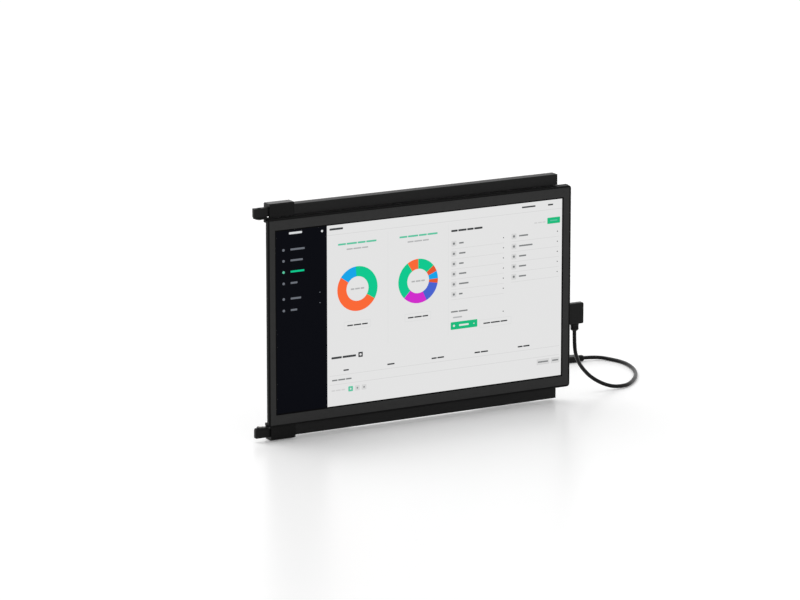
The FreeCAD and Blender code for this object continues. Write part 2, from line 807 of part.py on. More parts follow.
def make_cover():
    shell = body("cover_shell")
    pad(shell, "Y", rectangle(("left", "right"), ("-(cover_top)", "cover_top")),
        "chassis_back", "back")
    rounded(shell, "Y", "corner_radius")
    rim_chamfer(shell, "Y", 1, "cover_cut")
    pocket(shell, "Y", rectangle(("left + cover_wall", "right - cover_wall"),
                                 ("-(cover_top - cover_wall)", "cover_top - cover_wall")),
           "chassis_back", "cover_inside")
    bosses = [prism("cover_boss", "Y", spot, "chassis_back", "cover_inside", "boss_radius")
              for spot in cover_screw_spots()]
    tools = [flush_screw("cover_hole", "Y", spot, "back", "chassis_back", "cover_shank",
                         "cover_head") for spot in cover_screw_spots()]
    screws = [flush_screw("cover_screw", "Y", spot, "back", "chassis_back - screw_bite",
                          "cover_shank", "cover_head") for spot in cover_screw_spots()]
    for step in range(int(size("vent_count"))):
        middle = "vent_side - %d * vent_pitch" % step
        tools.append(box("vent", ("%s - vent_width / 2" % middle, "%s + vent_width / 2" % middle),
                         ("cover_inside", "back"),
                         ("vent_height - vent_length / 2", "vent_height + vent_length / 2")))
    tools.append(stadium("socket_opening", "socket_y", "socket_height", "wall_inside", "right",
                         "shell_radius + shell_fit + socket_wall + socket_fit", "shell_half"))
    for word in ("power", "brightness"):
        tools.append(stadium(word + "_opening", "socket_y", word + "_height", "wall_inside",
                             "right", "button_depth / 2 + button_gap",
                             "(%s_length - button_depth) / 2" % word))
    node("back_cover", cut("back_cover", join("cover_whole", [shell] + bosses), tools))
    node("cover_screws", group("cover_screws", screws))


# Electronics: the driver board with its socket, chips and ribbon, and the button board

def ribbon_reach():
    centre = "(board_left + socket_back) / 2"
    return ("%s - ribbon_width / 2" % centre, "%s + ribbon_width / 2" % centre)


def make_electronics():
    board = box("board_plate", ("board_left", "socket_back"), ("board_front", "board_back"),
                ("board_low", "board_high"))
    holes = [prism("board_hole", "Y", spot, "board_front", "board_back", "small_shank")
             for spot in board_spots()]
    node("driver_board", cut("driver_board", board, holes))
    node("board_screws", group("board_screws", [
        flush_screw("board_screw", "Y", spot, "board_back + head_depth",
                    "chassis_back - screw_bite", "small_shank", "small_head")
        for spot in board_spots()]))
    chips = []
    for chip, (along, up) in CHIP_PLACES.items():
        x = "board_left + %s * board_length - %s / 2" % (along, chip)
        z = "board_low + %s * board_height - %s / 2" % (up, chip)
        chips.append(box(chip, (x, "%s + %s" % (x, chip)),
                         ("board_back", "board_back + chip_thick"), (z, "%s + %s" % (z, chip))))
    node("board_chips", group("board_chips", chips))

    ribbon = body("ribbon")
    pad(ribbon, "X", [
        ("floor_front", "ribbon_low"),
        ("chassis_back + ribbon_thick", "ribbon_low"),
        ("chassis_back + ribbon_thick", "board_low - ribbon_thick"),
        ("board_back", "board_low - ribbon_thick"),
        ("board_back", "board_low"),
        ("chassis_back", "board_low"),
        ("chassis_back", "ribbon_low + ribbon_thick"),
        ("floor_front", "ribbon_low + ribbon_thick"),
    ], ribbon_reach()[0], ribbon_reach()[1])
    node("panel_ribbon", ribbon)

    inside = "shell_radius + shell_fit"
    case = stadium("socket_case", "socket_y", "socket_height", "socket_back", "socket_mouth",
                   inside + " + socket_wall", "shell_half")
    hollow = stadium("socket_hollow", "socket_y", "socket_height", "socket_back + socket_wall",
                     "socket_mouth", inside, "shell_half")
    blade = box("socket_blade", ("socket_back + socket_wall", "socket_mouth - tongue_short"),
                ("socket_y - tongue_plate / 2", "socket_y + tongue_plate / 2"),
                ("socket_height - tongue_width / 2", "socket_height + tongue_width / 2"))
    node("power_data_socket", join("power_data_socket", [cut("socket_shell", case, [hollow]), blade]))

    middle = "(power_height + brightness_height) / 2"
    span = "(power_height - brightness_height) / 2 + brightness_length / 2"
    node("button_board", box("button_board", ("switch_right - button_board_length", "switch_right"),
                             ("chassis_back", "chassis_back + board_thick"),
                             ("%s - (%s)" % (middle, span), "%s + (%s)" % (middle, span))))
    floor = "chassis_back + board_thick"
    switches = [box("key_switch", ("switch_right - switch_length", "switch_right"),
                    (floor, floor + " + switch_depth"),
                    (word + "_height - switch_width / 2", word + "_height + switch_width / 2"))
                for word in ("power", "brightness")]
    node("key_switches", group("key_switches", switches))


# Buttons: each a cap with a flange behind the wall and a short stem towards its switch

def make_buttons():
    for word in ("power", "brightness"):
        height = word + "_height"
        half = "(%s_length - button_depth) / 2" % word
        cap = stadium(word + "_cap", "socket_y", height, "flange_front", "right + button_proud",
                      "button_depth / 2", half)
        across = "button_depth / 2 + button_flange"
        along = "%s_length / 2 + button_flange" % word
        flange = box(word + "_flange", ("flange_back", "flange_front"),
                     ("socket_y - (%s)" % across, "socket_y + %s" % across),
                     ("%s - (%s)" % (height, along), "%s + %s" % (height, along)))
        stem = prism(word + "_stem", "X", ("socket_y", height), "flange_back - button_stem",
                     "flange_back", "button_stem")
        node(word + "_button", join(word + "_button", [cap, flange, stem]))


# Cable: a right-angle plug with its boot, the cord, and a straight plug at the far end

def hollow_shell(name, start, end):
    """The metal sleeve of a plug, before it is placed."""
    outer = stadium(name + "_outside", "0", "0", start, end, "shell_radius", "shell_half")
    inner = stadium(name + "_inside", "0", "0", start, end, "shell_radius - shell_wall",
                    "shell_half")
    return cut(name, outer, [inner])


def make_plug():
    moulding = body("plug_moulding")
    pad(moulding, "X", rectangle(("socket_y - plug_depth / 2", "socket_y + plug_depth / 2"),
                                 ("plug_bottom", "plug_top")), "plug_left", "plug_right")
    rounded(moulding, "X", "plug_round")
    rim_chamfer(moulding, "X", 1, "plug_rim")
    node("plug_body", moulding)
    shell = hollow_shell("near_shell", "socket_mouth - shell_reach", "plug_left")
    bind(shell, Placement__Base__y="socket_y", Placement__Base__z="socket_height")
    node("plug_shell", shell)
    boot = body("plug_boot")
    pad(boot, "Z", rectangle(("cord_x - boot_width / 2", "cord_x + boot_width / 2"),
                             ("socket_y - boot_depth / 2", "socket_y + boot_depth / 2")),
        "boot_bottom", "plug_bottom")
    rounded(boot, "Z", "boot_round")
    rim_chamfer(boot, "Z", 0, "boot_cut")
    node("plug_boot", boot)


def cord_route():
    """The route's points: the exit and the end of its straight start, then the chosen ones."""
    plug_left = size("picture_width") / 2 + size("border_right") + size("plug_gap")
    x = plug_left + size("boot_offset")
    y = size("socket_depth") - size("front_reach")
    z = size("socket_height") - size("plug_height") / 2 - size("boot_length")
    return [Vector(x, y, z), Vector(x, y, z - STRAIGHT_EXIT)] + [Vector(*spot) for spot in ROUTE]


def cord_path(route):
    """Straight runs joined by tangent arcs, each as large as its two runs allow."""
    edges = []
    start = route[0]
    for before, corner, after in zip(route, route[1:], route[2:]):
        back, ahead = before - corner, after - corner
        reach = ARC_SHARE * min(back.Length, ahead.Length)
        half_turn = (math.pi - back.getAngle(ahead)) / 2
        radius = reach / math.tan(half_turn)
        back.normalize()
        ahead.normalize()
        entry, leave = corner + back * reach, corner + ahead * reach
        inward = back + ahead
        inward.normalize()
        middle = corner + inward * (radius / math.cos(half_turn) - radius)
        edges += [Part.LineSegment(start, entry).toShape(), Part.Arc(entry, middle, leave).toShape()]
        print("cord turn %.0f degrees, radius %.1f mm" % (math.degrees(2 * half_turn), radius))
        start = leave
    edges.append(Part.LineSegment(start, route[-1]).toShape())
    return Part.Wire(edges)


def make_cord():
    route = cord_route()
    path = cord_path(route)
    radius = size("cord_diameter") / 2
    turn = math.tau / CORD_SIDES
    corners = [route[0] + Vector(radius * math.cos(step * turn), radius * math.sin(step * turn), 0)
               for step in range(CORD_SIDES + 1)]
    tube = path.makePipeShell([Part.makePolygon(corners)], True, False)
    section = CORD_SIDES / 2 * radius ** 2 * math.sin(turn)
    print("cord length %.1f mm, volume %.1f, section times length %.1f"
          % (path.Length, tube.Volume, section * path.Length))
    cord = doc.addObject("Part::Feature", "cord")
    cord.Shape = tube
    node("cord", cord)
    return route


def make_far_plug(route):
    """Pieces on the cord's free end, drawn along +X from it and turned to its last run."""
    heading = route[-1] - route[-2]
    angle = math.degrees(math.atan2(heading.y, heading.x))
    place = Placement(route[-1], Rotation(Vector(0, 0, 1), angle))
    half_width, half_thick = "far_plug_width / 2", "far_plug_thick / 2"
    boot = body("far_boot")
    pad(boot, "X", rectangle(("-(boot_depth) / 2", "boot_depth / 2"),
                             ("-(boot_depth) / 2", "boot_depth / 2")), "0", "far_boot_length")
    rounded(boot, "X", "boot_round")
    rim_chamfer(boot, "X", 0, "boot_cut")
    boot.Placement = place
    node("far_plug_boot", boot)
    moulding = body("far_moulding")
    pad(moulding, "X", rectangle(("-(%s)" % half_width, half_width),
                                 ("-(%s)" % half_thick, half_thick)),
        "far_boot_length", "far_boot_length + far_plug_length")
    rounded(moulding, "X", "far_plug_round")
    moulding.Placement = place
    node("far_plug_body", moulding)
    tip = "far_boot_length + far_plug_length"
    shell = hollow_shell("far_shell", tip, tip + " + shell_reach")
    shell.Placement = place.multiply(Placement(Vector(), Rotation(Vector(1, 0, 0), 90)))
    node("far_plug_shell", shell)


make_rails()
make_collars()
make_feet()
make_sliders()
make_hinges()
make_chassis()
make_display()
make_cover()
make_electronics()
make_buttons()
make_plug()
make_far_plug(make_cord())
doc.recompute()

for thing in doc.Objects:
    if "Invalid" in thing.State or "Error" in thing.State:
        raise RuntimeError("%s is %s" % (thing.Label, thing.State))
for label, thing in NODES.items():
    if thing.Shape.isNull() or not thing.Shape.isValid():
        raise RuntimeError("%s has no valid shape" % label)

os.makedirs("parts", exist_ok=True)
for label, thing in NODES.items():
    thing.Shape.exportStep("parts/%s.step" % label)
    print("%-20s %d solid(s), %.1f mm3" % (label, len(thing.Shape.Solids), thing.Shape.Volume))
print("%d nodes" % len(NODES))
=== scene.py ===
# %% [markdown]
# Laptop screen extender: a slim second monitor that slides out sideways and folds round.
# Two black rails carry it on magnetic feet, a slider runs in each, and the monitor turns on friction
# hinges at the sliders' ends. The pieces arrive as finished solids. This lesson gives them broken
# edges, real finishes, a lit picture and a soft cord, and puts them in a pale studio.
# Loading comes first, because every piece made below is placed from the solids' own boxes.

# %% Load the solids
import bmesh
import bpy
import math
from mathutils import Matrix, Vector


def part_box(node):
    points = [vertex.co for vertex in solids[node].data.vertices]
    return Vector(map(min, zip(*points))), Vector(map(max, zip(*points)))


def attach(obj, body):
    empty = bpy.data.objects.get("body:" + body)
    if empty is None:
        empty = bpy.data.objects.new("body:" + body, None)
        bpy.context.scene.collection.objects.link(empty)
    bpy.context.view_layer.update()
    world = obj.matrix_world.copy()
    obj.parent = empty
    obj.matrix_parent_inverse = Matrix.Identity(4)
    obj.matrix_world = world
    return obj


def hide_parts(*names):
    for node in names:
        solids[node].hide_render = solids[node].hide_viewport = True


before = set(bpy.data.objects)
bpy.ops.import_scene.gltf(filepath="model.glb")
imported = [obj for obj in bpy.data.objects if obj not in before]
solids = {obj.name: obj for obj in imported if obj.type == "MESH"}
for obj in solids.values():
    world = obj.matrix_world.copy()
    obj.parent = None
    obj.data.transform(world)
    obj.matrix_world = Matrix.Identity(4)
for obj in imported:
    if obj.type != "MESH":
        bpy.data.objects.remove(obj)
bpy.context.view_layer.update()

MM = 0.001


def placed(name, data):
    """Make an object from its data and put it in the scene."""
    thing = bpy.data.objects.new(name, data)
    bpy.context.scene.collection.objects.link(thing)
    return thing


# %% [markdown]
# The camera stands where the picture was taken: low, to the left and far off, with a long lens.
# A long lens keeps the rails almost parallel. The place is found from the angles at which the
# monitor is seen, and no shift or tilt is needed, because the lens points at the frame's middle.

# %% Camera
camera_azimuth = math.radians(-29.1748)
camera_elevation = math.radians(13.1148)
camera_spot = Vector((-1.989324, -3.537459, 0.947087))
lens_mm = 197.24
sensor_mm = 36.0

view_line = Vector((-math.sin(camera_azimuth) * math.cos(camera_elevation),
                    math.cos(camera_azimuth) * math.cos(camera_elevation),
                    -math.sin(camera_elevation)))
camera = placed("camera", bpy.data.cameras.new("camera"))
camera.location = camera_spot
camera.rotation_euler = view_line.to_track_quat("-Z", "Y").to_euler()
camera.data.lens = lens_mm
camera.data.sensor_width = sensor_mm
bpy.context.scene.camera = camera

# %% [markdown]
# The cord is a short, springy data cable. It hangs from the right-angle plug, swings down to the
# table and runs in one wide loop to its far plug. A cable like this takes smooth curves by itself,
# so a spline led by a few chosen points looks more real than a simulated rope, and its length is
# easy to measure. The order is set after the points are there, or else the spline stays a chain of
# straight runs.

# %% Cord
cord_radius = 1.9 * MM
cord_exit = (173.15, -11.2, -46.3)
cord_points = [
    cord_exit,
    (173.15, -11.2, -61.3),
    (179.0, -5.5, -75.0),
    (189.5, 1.0, -88.5),
    (204.0, 2.5, -102.0),
    (222.0, -1.5, -110.8),
    (241.0, 0.5, -112.1),
    (256.5, 13.5, -112.1),
    (270.5, 30.0, -112.1),
    (280.3, 47.5, -112.1),
    (286.6, 65.5, -112.1),
    (288.6, 83.5, -112.1),
    (284.3, 99.5, -112.1),
    (274.0, 110.5, -110.8),
    (260.5, 113.0, -110.8),
]
cord_line = bpy.data.curves.new("data_cord", "CURVE")
cord_line.dimensions = "3D"
cord_line.resolution_u = 10
cord_line.bevel_depth = cord_radius
cord_line.bevel_resolution = 6
cord_line.use_fill_caps = True
spline = cord_line.splines.new("NURBS")
spline.points.add(len(cord_points) - 1)
for point, spot in zip(spline.points, cord_points):
    point.co = (*(value * MM for value in spot), 1.0)
spline.order_u = 3
spline.use_endpoint_u = True
data_cord = placed("data_cord", cord_line)
print("cord points:", len(cord_points), "thickness in mm:", 2 * cord_radius / MM)

# %% [markdown]
# Every edge of a moulded or milled piece is slightly broken, and that thin bevel is what catches
# the light on a black product. The solids have ideal sharp edges, so each piece that shows is
# remade: its triangles are merged back into flat faces, and a narrow bevel runs along its edges.
# The bevel lies inside the old outline, so nothing grows and every piece still fits its neighbour.
# Normals weighted by area keep the large faces flat in the light.

# %% Pieces with broken edges
flat_angle = math.radians(1.0)
edge_angle = math.radians(32.0)
same_spot = 0.001 * MM
bevel_segments = 2


def eased_piece(name, node, edge, body, finish):
    """Remake one solid with a narrow bevel on its edges, riding on the same body."""
    mesh = solids[node].data.copy()
    mesh.name = name
    form = bmesh.new()
    form.from_mesh(mesh)
    bmesh.ops.remove_doubles(form, verts=form.verts, dist=same_spot)
    bmesh.ops.dissolve_limit(form, angle_limit=flat_angle, verts=form.verts, edges=form.edges)
    form.to_mesh(mesh)
    form.free()
    piece = placed(name, mesh)
    bevel = piece.modifiers.new("broken edges", "BEVEL")
    bevel.width = edge
    bevel.segments = bevel_segments
    bevel.limit_method = "ANGLE"
    bevel.angle_limit = edge_angle
    flat_faces = piece.modifiers.new("flat faces", "WEIGHTED_NORMAL")
    flat_faces.weight = 100
    flat_faces.keep_sharp = True
    mesh.shade_smooth()
    mesh.materials.clear()
    mesh.materials.append(finish)
    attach(piece, body)
    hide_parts(node)
    return piece


# %% [markdown]
# A finish starts as a shader with nodes, and its plain values go straight on the shader. Its detail
# comes from a noise that is spread over the piece in its own measure, so many cells to the metre.
# Noise in object space needs no unwrapping and never slides with the view.

# %% Empty finish and noise


def blank_finish(name, colour, roughness, shine=0.5):
    """A material with its shader's plain values set on the shader itself."""
    finish = bpy.data.materials.new(name)
    finish.use_nodes = True
    shader = finish.node_tree.nodes["Principled BSDF"]
    shader.inputs["Base Color"].default_value = (*colour, 1.0)
    shader.inputs["Roughness"].default_value = roughness
    shader.inputs["Specular IOR Level"].default_value = shine
    return finish, shader


def speckle(finish, per_metre, stretch=(1.0, 1.0, 1.0), detail=3.0):
    """A noise over the piece: so many cells to the metre, and wider along one axis if asked."""
    nodes, links = finish.node_tree.nodes, finish.node_tree.links
    place = nodes.new("ShaderNodeTexCoord")
    scale = nodes.new("ShaderNodeMapping")
    noise = nodes.new("ShaderNodeTexNoise")
    scale.inputs["Scale"].default_value = stretch
    noise.inputs["Scale"].default_value = per_metre
    noise.inputs["Detail"].default_value = detail
    links.new(place.outputs["Object"], scale.inputs["Vector"])
    links.new(scale.outputs["Vector"], noise.inputs["Vector"])
    return noise.outputs["Fac"]


# %% [markdown]
# A noise can do three things to a surface: vary its gloss, raise it in a shallow relief, or let its
# colour drift. On black plastic the gloss matters most, because there is little colour to see.

# %% What a noise does
noise_low = 0.3
noise_high = 0.7


def spread(finish, source, low, high):
    """Stretch a noise to run between two values."""
    nodes, links = finish.node_tree.nodes, finish.node_tree.links
    ramp = nodes.new("ShaderNodeMapRange")
    ramp.inputs["From Min"].default_value = noise_low
    ramp.inputs["From Max"].default_value = noise_high
    ramp.inputs["To Min"].default_value = low
    ramp.inputs["To Max"].default_value = high
    links.new(source, ramp.inputs["Value"])
    return ramp.outputs["Result"]


def relief(finish, shader, source, height, strength=0.5):
    """A shallow surface relief from a noise."""
    nodes, links = finish.node_tree.nodes, finish.node_tree.links
    bump = nodes.new("ShaderNodeBump")
    bump.inputs["Distance"].default_value = height
    bump.inputs["Strength"].default_value = strength
    links.new(source, bump.inputs["Height"])
    links.new(bump.outputs["Normal"], shader.inputs["Normal"])


def shaded(finish, shader, source, dark, light):
    """Let the colour drift between two near tones."""
    nodes, links = finish.node_tree.nodes, finish.node_tree.links
    mix = nodes.new("ShaderNodeMix")
    mix.data_type = "RGBA"
    mix.inputs["A"].default_value = (*dark, 1.0)
    mix.inputs["B"].default_value = (*light, 1.0)
    links.new(source, mix.inputs["Factor"])
    links.new(mix.outputs["Result"], shader.inputs["Base Color"])


def grey(value):
    """One neutral tone."""
    return (value, value, value)


# %% [markdown]
# The rails are aluminium with a matt black coating. Drawn metal keeps faint lines along its length
# under the coat, so the noise is stretched fifty times along X. The coat is rough enough to show
# no clear reflection, yet its upward face greys in the light, as it does on the real rails.

# %% Rail finish
lines_per_metre = 900.0
along_the_rail = 0.02
rail_coat, coat_shader = blank_finish("rail_coat", grey(0.010), 0.5, 0.16)
drawn_lines = speckle(rail_coat, lines_per_metre, stretch=(along_the_rail, 1.0, 1.0))
rail_coat.node_tree.links.new(spread(rail_coat, drawn_lines, 0.36, 0.5), coat_shader.inputs["Roughness"])
shaded(rail_coat, coat_shader, speckle(rail_coat, 260.0), grey(0.0085), grey(0.012))
relief(rail_coat, coat_shader, drawn_lines, 0.02 * MM)
print("lines in the rail's coat are stretched %.0f times" % (1 / along_the_rail))

# %% [markdown]
# Collars, feet, sliders, covers and the monitor's frame are moulded plastic. A spark-eroded mould
# leaves an even, very fine grain, about a quarter of a millimetre wide. One function makes them all,
# and each gets its own tone and gloss, because parts from different moulds never match exactly.

# %% Moulded finishes
grain_per_metre = 4200.0
grain_height = 0.015 * MM
wear_per_metre = 300.0
wear_spread = 0.05
drift_per_metre = 120.0
drift_share = 0.12


def moulded(name, tone, roughness, shine):
    """Fine-grained black or grey plastic."""
    finish, shader = blank_finish(name, grey(tone), roughness, shine)
    wear = speckle(finish, wear_per_metre)
    finish.node_tree.links.new(spread(finish, wear, roughness - wear_spread, roughness + wear_spread),
                               shader.inputs["Roughness"])
    shaded(finish, shader, speckle(finish, drift_per_metre), grey(tone * (1 - drift_share)),
           grey(tone * (1 + drift_share)))
    relief(finish, shader, speckle(finish, grain_per_metre, detail=2.0), grain_height)
    return finish


frame_black = moulded("frame_black", 0.0025, 0.45, 0.1)
bezel_grey = moulded("bezel_grey", 0.0305, 0.5, 0.2)
cover_grain = moulded("cover_grain", 0.011, 0.55, 0.3)
collar_grain = moulded("collar_grain", 0.0042, 0.2, 0.13)
slider_plastic = moulded("slider_plastic", 0.009, 0.4, 0.14)
cap_plastic = moulded("cap_plastic", 0.009, 0.5, 0.2)
foot_plastic = moulded("foot_plastic", 0.012, 0.55, 0.3)
button_plastic = moulded("button_plastic", 0.010, 0.42, 0.3)
bumper_rubber = moulded("bumper_rubber", 0.004, 0.7, 0.1)
plug_plastic = moulded("plug_plastic", 0.008, 0.35, 0.14)
print("one grain in mm: %.2f" % (1 / (grain_per_metre * MM)))

# %% [markdown]
# The cord's jacket is a soft black elastomer with a dull gloss. Seen along its side it is almost
# black, and where it turns up to the light it shows a bright streak, so it is smoother than most of
# the plastics, with only a slow waviness from the extruder.

# %% Cord jacket
cord_jacket, jacket_shader = blank_finish("cord_jacket", grey(0.0025), 0.26, 0.16)
waviness = speckle(cord_jacket, 450.0)
cord_jacket.node_tree.links.new(spread(cord_jacket, waviness, 0.2, 0.3), jacket_shader.inputs["Roughness"])
relief(cord_jacket, jacket_shader, waviness, 0.03 * MM)
cord_line.materials.append(cord_jacket)
print("nodes in the jacket:", len(cord_jacket.node_tree.nodes))

# %% [markdown]
# The small metal pieces are of three kinds: blackened screws and hinge ears, bright nickel plating
# on pins, plug sleeves and magnets, and a silver film behind the light guide. Metal takes all its
# look from reflections, so its roughness is the part that varies, in fine rolled streaks.

# %% Metal finishes
streaks_per_metre = 1500.0
streak_spread = 0.08
streak_height = 0.01 * MM


def metallic(name, colour, roughness, streak=(1.0, 1.0, 1.0)):
    """A metal whose roughness varies in fine streaks."""
    finish, shader = blank_finish(name, colour, roughness)
    shader.inputs["Metallic"].default_value = 1.0
    streaks = speckle(finish, streaks_per_metre, stretch=streak)
    finish.node_tree.links.new(spread(finish, streaks, roughness - streak_spread, roughness + streak_spread),
                               shader.inputs["Roughness"])
    relief(finish, shader, streaks, streak_height)
    return finish


black_oxide = metallic("black_oxide", grey(0.035), 0.42)
bright_nickel = metallic("bright_nickel", (0.62, 0.6, 0.57), 0.25, streak=(0.1, 1.0, 1.0))
silver_film = metallic("silver_film", grey(0.8), 0.2)
print("metals:", [finish.name for finish in (black_oxide, bright_nickel, silver_film)])

# %% [markdown]
# The monitor's inner sheets, board and ribbon are hidden when it is closed, yet they are there when
# it is taken apart. They are simple: milky films, a clear acrylic guide, green solder mask with a
# slight mottle, black chip housings, amber film and dark adhesive foam.

# %% Inner finishes


def mottled(name, colour, roughness, per_metre, share, height=0.0):
    """A plain material whose tone wanders by a small share."""
    finish, shader = blank_finish(name, colour, roughness)
    tone = speckle(finish, per_metre)
    shaded(finish, shader, tone, [value * (1 - share) for value in colour],
           [value * (1 + share) for value in colour])
    if height:
        relief(finish, shader, tone, height)
    return finish


milky_film = mottled("milky_film", grey(0.8), 0.5, 200.0, 0.03)
lamp_white = mottled("lamp_white", (0.85, 0.83, 0.7), 0.4, 400.0, 0.05)
solder_mask = mottled("solder_mask", (0.02, 0.12, 0.05), 0.3, 900.0, 0.2, 0.02 * MM)
chip_epoxy = mottled("chip_epoxy", grey(0.02), 0.45, 5000.0, 0.2, 0.01 * MM)
amber_film = mottled("amber_film", (0.45, 0.22, 0.05), 0.3, 600.0, 0.1)
foot_pad = mottled("foot_pad", grey(0.03), 0.6, 3000.0, 0.15, 0.02 * MM)
clear_acrylic = mottled("clear_acrylic", (0.9, 0.93, 0.95), 0.08, 50.0, 0.01)
clear_acrylic.node_tree.nodes["Principled BSDF"].inputs["Transmission Weight"].default_value = 0.9
print("finishes so far:", len(bpy.data.materials))

# %% [markdown]
# Now the edges are broken on every piece that shows. Rails, collars and plugs have the wide bevel
# of a part that is handled. The frame, bezel and cover have a fine one, as thin mouldings do.

# %% Monitor, rails and hinges with broken edges
wide_edge = 0.3 * MM
fine_edge = 0.15 * MM
eased = [
    ("upper_rail", "top_rail", wide_edge, "rails", rail_coat),
    ("lower_rail", "bottom_rail", wide_edge, "rails", rail_coat),
    ("upper_rail_cap", "top_end_cap", fine_edge, "rails", cap_plastic),
    ("lower_rail_cap", "bottom_end_cap", fine_edge, "rails", cap_plastic),
    ("upper_collar", "top_collar", wide_edge, "rails", collar_grain),
    ("lower_collar", "bottom_collar", wide_edge, "rails", collar_grain),
    ("upper_slider", "top_slider", wide_edge, "carriage", slider_plastic),
    ("lower_slider", "bottom_slider", wide_edge, "carriage", slider_plastic),
    ("monitor_frame", "chassis", fine_edge, "monitor", frame_black),
    ("monitor_bezel", "front_bezel", fine_edge, "monitor", bezel_grey),
    ("monitor_cover", "back_cover", fine_edge, "monitor", cover_grain),
    ("upper_stop", "top_end_stop", fine_edge, "monitor", bumper_rubber),
    ("lower_stop", "bottom_end_stop", fine_edge, "monitor", bumper_rubber),
    ("upper_ear", "top_hinge_ear", fine_edge, "monitor", black_oxide),
    ("lower_ear", "bottom_hinge_ear", fine_edge, "monitor", black_oxide),
    ("upper_left_foot", "top_left_foot", fine_edge, "rails", foot_plastic),
    ("upper_right_foot", "top_right_foot", fine_edge, "rails", foot_plastic),
    ("lower_left_foot", "bottom_left_foot", fine_edge, "rails", foot_plastic),
    ("lower_right_foot", "bottom_right_foot", fine_edge, "rails", foot_plastic),
    ("power_key_cap", "power_button", fine_edge, "power_key", button_plastic),
    ("brightness_key_cap", "brightness_button", fine_edge, "brightness_key", button_plastic),
    ("right_angle_plug", "plug_body", wide_edge, "cable", plug_plastic),
    ("straight_plug", "far_plug_body", wide_edge, "cable", plug_plastic),
]
made = {name: eased_piece(name, node, edge, body, finish) for name, node, edge, body, finish in eased}
print("pieces with broken edges:", len(made))

# %% [markdown]
# Round and squarish pieces come from rows of corners, joined by walls of quads. One rule makes both
# kinds of row: the corners of a circle are pushed out towards a rectangle's, little or much.
# A loft through several rows is then a closed skin whose size can change along the way.

# %% Rows and skins
ring_points = 40


def squared(turn, power):
    """A point on a circle, pushed out to the corners when the power is small."""
    return [math.copysign(abs(value) ** power, value) for value in (math.cos(turn), math.sin(turn))]


def ring(width, depth, squareness):
    """Points round a rounded rectangle: 2 is an ellipse, and larger is squarer."""
    turns = [math.tau * step / ring_points for step in range(ring_points)]
    return [(x * width / 2, y * depth / 2) for x, y in (squared(turn, 2 / squareness) for turn in turns)]


def wall(form, first, second):
    """Join two rows of corners with quads."""
    for step in range(len(first)):
        following = (step + 1) % len(first)
        form.faces.new((first[step], first[following], second[following], second[step]))


def lofted(name, rings, start, forward, sideways):
    """A closed skin through rings of (distance, width, depth, squareness) along a direction."""
    forward, sideways = Vector(forward).normalized(), Vector(sideways).normalized()
    third = forward.cross(sideways)
    form = bmesh.new()
    rows = []
    for distance, width, depth, squareness in rings:
        middle = Vector(start) + forward * distance
        rows.append([form.verts.new(middle + sideways * a + third * b)
                     for a, b in ring(width, depth, squareness)])
    for low, high in zip(rows, rows[1:]):
        wall(form, low, high)
    form.faces.new(list(reversed(rows[0])))
    form.faces.new(rows[-1])
    bmesh.ops.recalc_face_normals(form, faces=form.faces)
    mesh = bpy.data.meshes.new(name)
    form.to_mesh(mesh)
    form.free()
    mesh.shade_smooth()
    mesh.set_sharp_from_angle(angle=edge_angle)
    return placed(name, mesh)


# %% [markdown]
# Each cable boot is a soft sleeve that starts as wide as its plug and closes in round the cord. It
# could be a cone, but this one keeps its width, has a few grooves so that it can bend, and tapers
# only at the end.

# %% Cable boots
boot_square = 3.2
groove_sink = 0.35 * MM
groove_places = (0.3, 0.45, 0.6)
groove_outer, groove_inner = 0.05, 0.03
taper = ((0.78, 1.0, 1.0, 2.8), (0.93, 0.8, 0.85, 2.4))
mouth_slack = 0.5 * MM


def boot_rings(length, width, depth):
    """The sizes along a boot: full width, three grooves, then the taper to the cord."""
    rings = [(0.0, width, depth, boot_square)]
    for place in groove_places:
        for shift, sink in ((-groove_outer, 0.0), (-groove_inner, groove_sink),
                            (groove_inner, groove_sink), (groove_outer, 0.0)):
            rings.append(((place + shift) * length, width - 2 * sink, depth - 2 * sink, boot_square))
    for place, wide, deep, squareness in taper:
        rings.append((place * length, width * wide, depth * deep, squareness))
    mouth = 2 * cord_radius + mouth_slack
    rings.append((length, mouth, mouth, 2.0))
    return rings


near_low, near_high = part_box("plug_boot")
boot_width = near_high.x - near_low.x
boot_depth = near_high.y - near_low.y
near_boot = lofted("right_angle_boot", boot_rings(near_high.z - near_low.z, boot_width, boot_depth),
                   ((near_low.x + near_high.x) / 2, (near_low.y + near_high.y) / 2, near_high.z),
                   (0, 0, -1), (1, 0, 0))
cord_end = Vector(cord_points[-1]) * MM
last_run = (cord_end - Vector(cord_points[-2]) * MM).normalized()
far_boot_length = 7.0 * MM
far_boot = lofted("straight_boot", boot_rings(far_boot_length, boot_depth, boot_depth),
                  cord_end + last_run * far_boot_length, -last_run, (0, 0, 1))
for piece, node in ((near_boot, "plug_boot"), (far_boot, "far_plug_boot")):
    piece.data.materials.append(plug_plastic)
    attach(piece, "cable")
    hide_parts(node)
print("boots in mm:", round(boot_width / MM, 1), "by", round(boot_depth / MM, 1))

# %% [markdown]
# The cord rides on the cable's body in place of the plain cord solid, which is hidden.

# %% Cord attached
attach(data_cord, "cable")
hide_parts("cord")

# %% [markdown]
# Flat shapes turn up twice: in the rims behind the frame and in the lit picture. Both are thin plates
# with a chosen outline, so one helper draws them. Each plate is a closed solid with front, back and
# sides, and its corners can be round. Where plates of the picture cover each other, their faces are
# a hundredth of a millimetre or more apart, so that they never fight for one place.

# %% Thin plates
arc_steps = 5


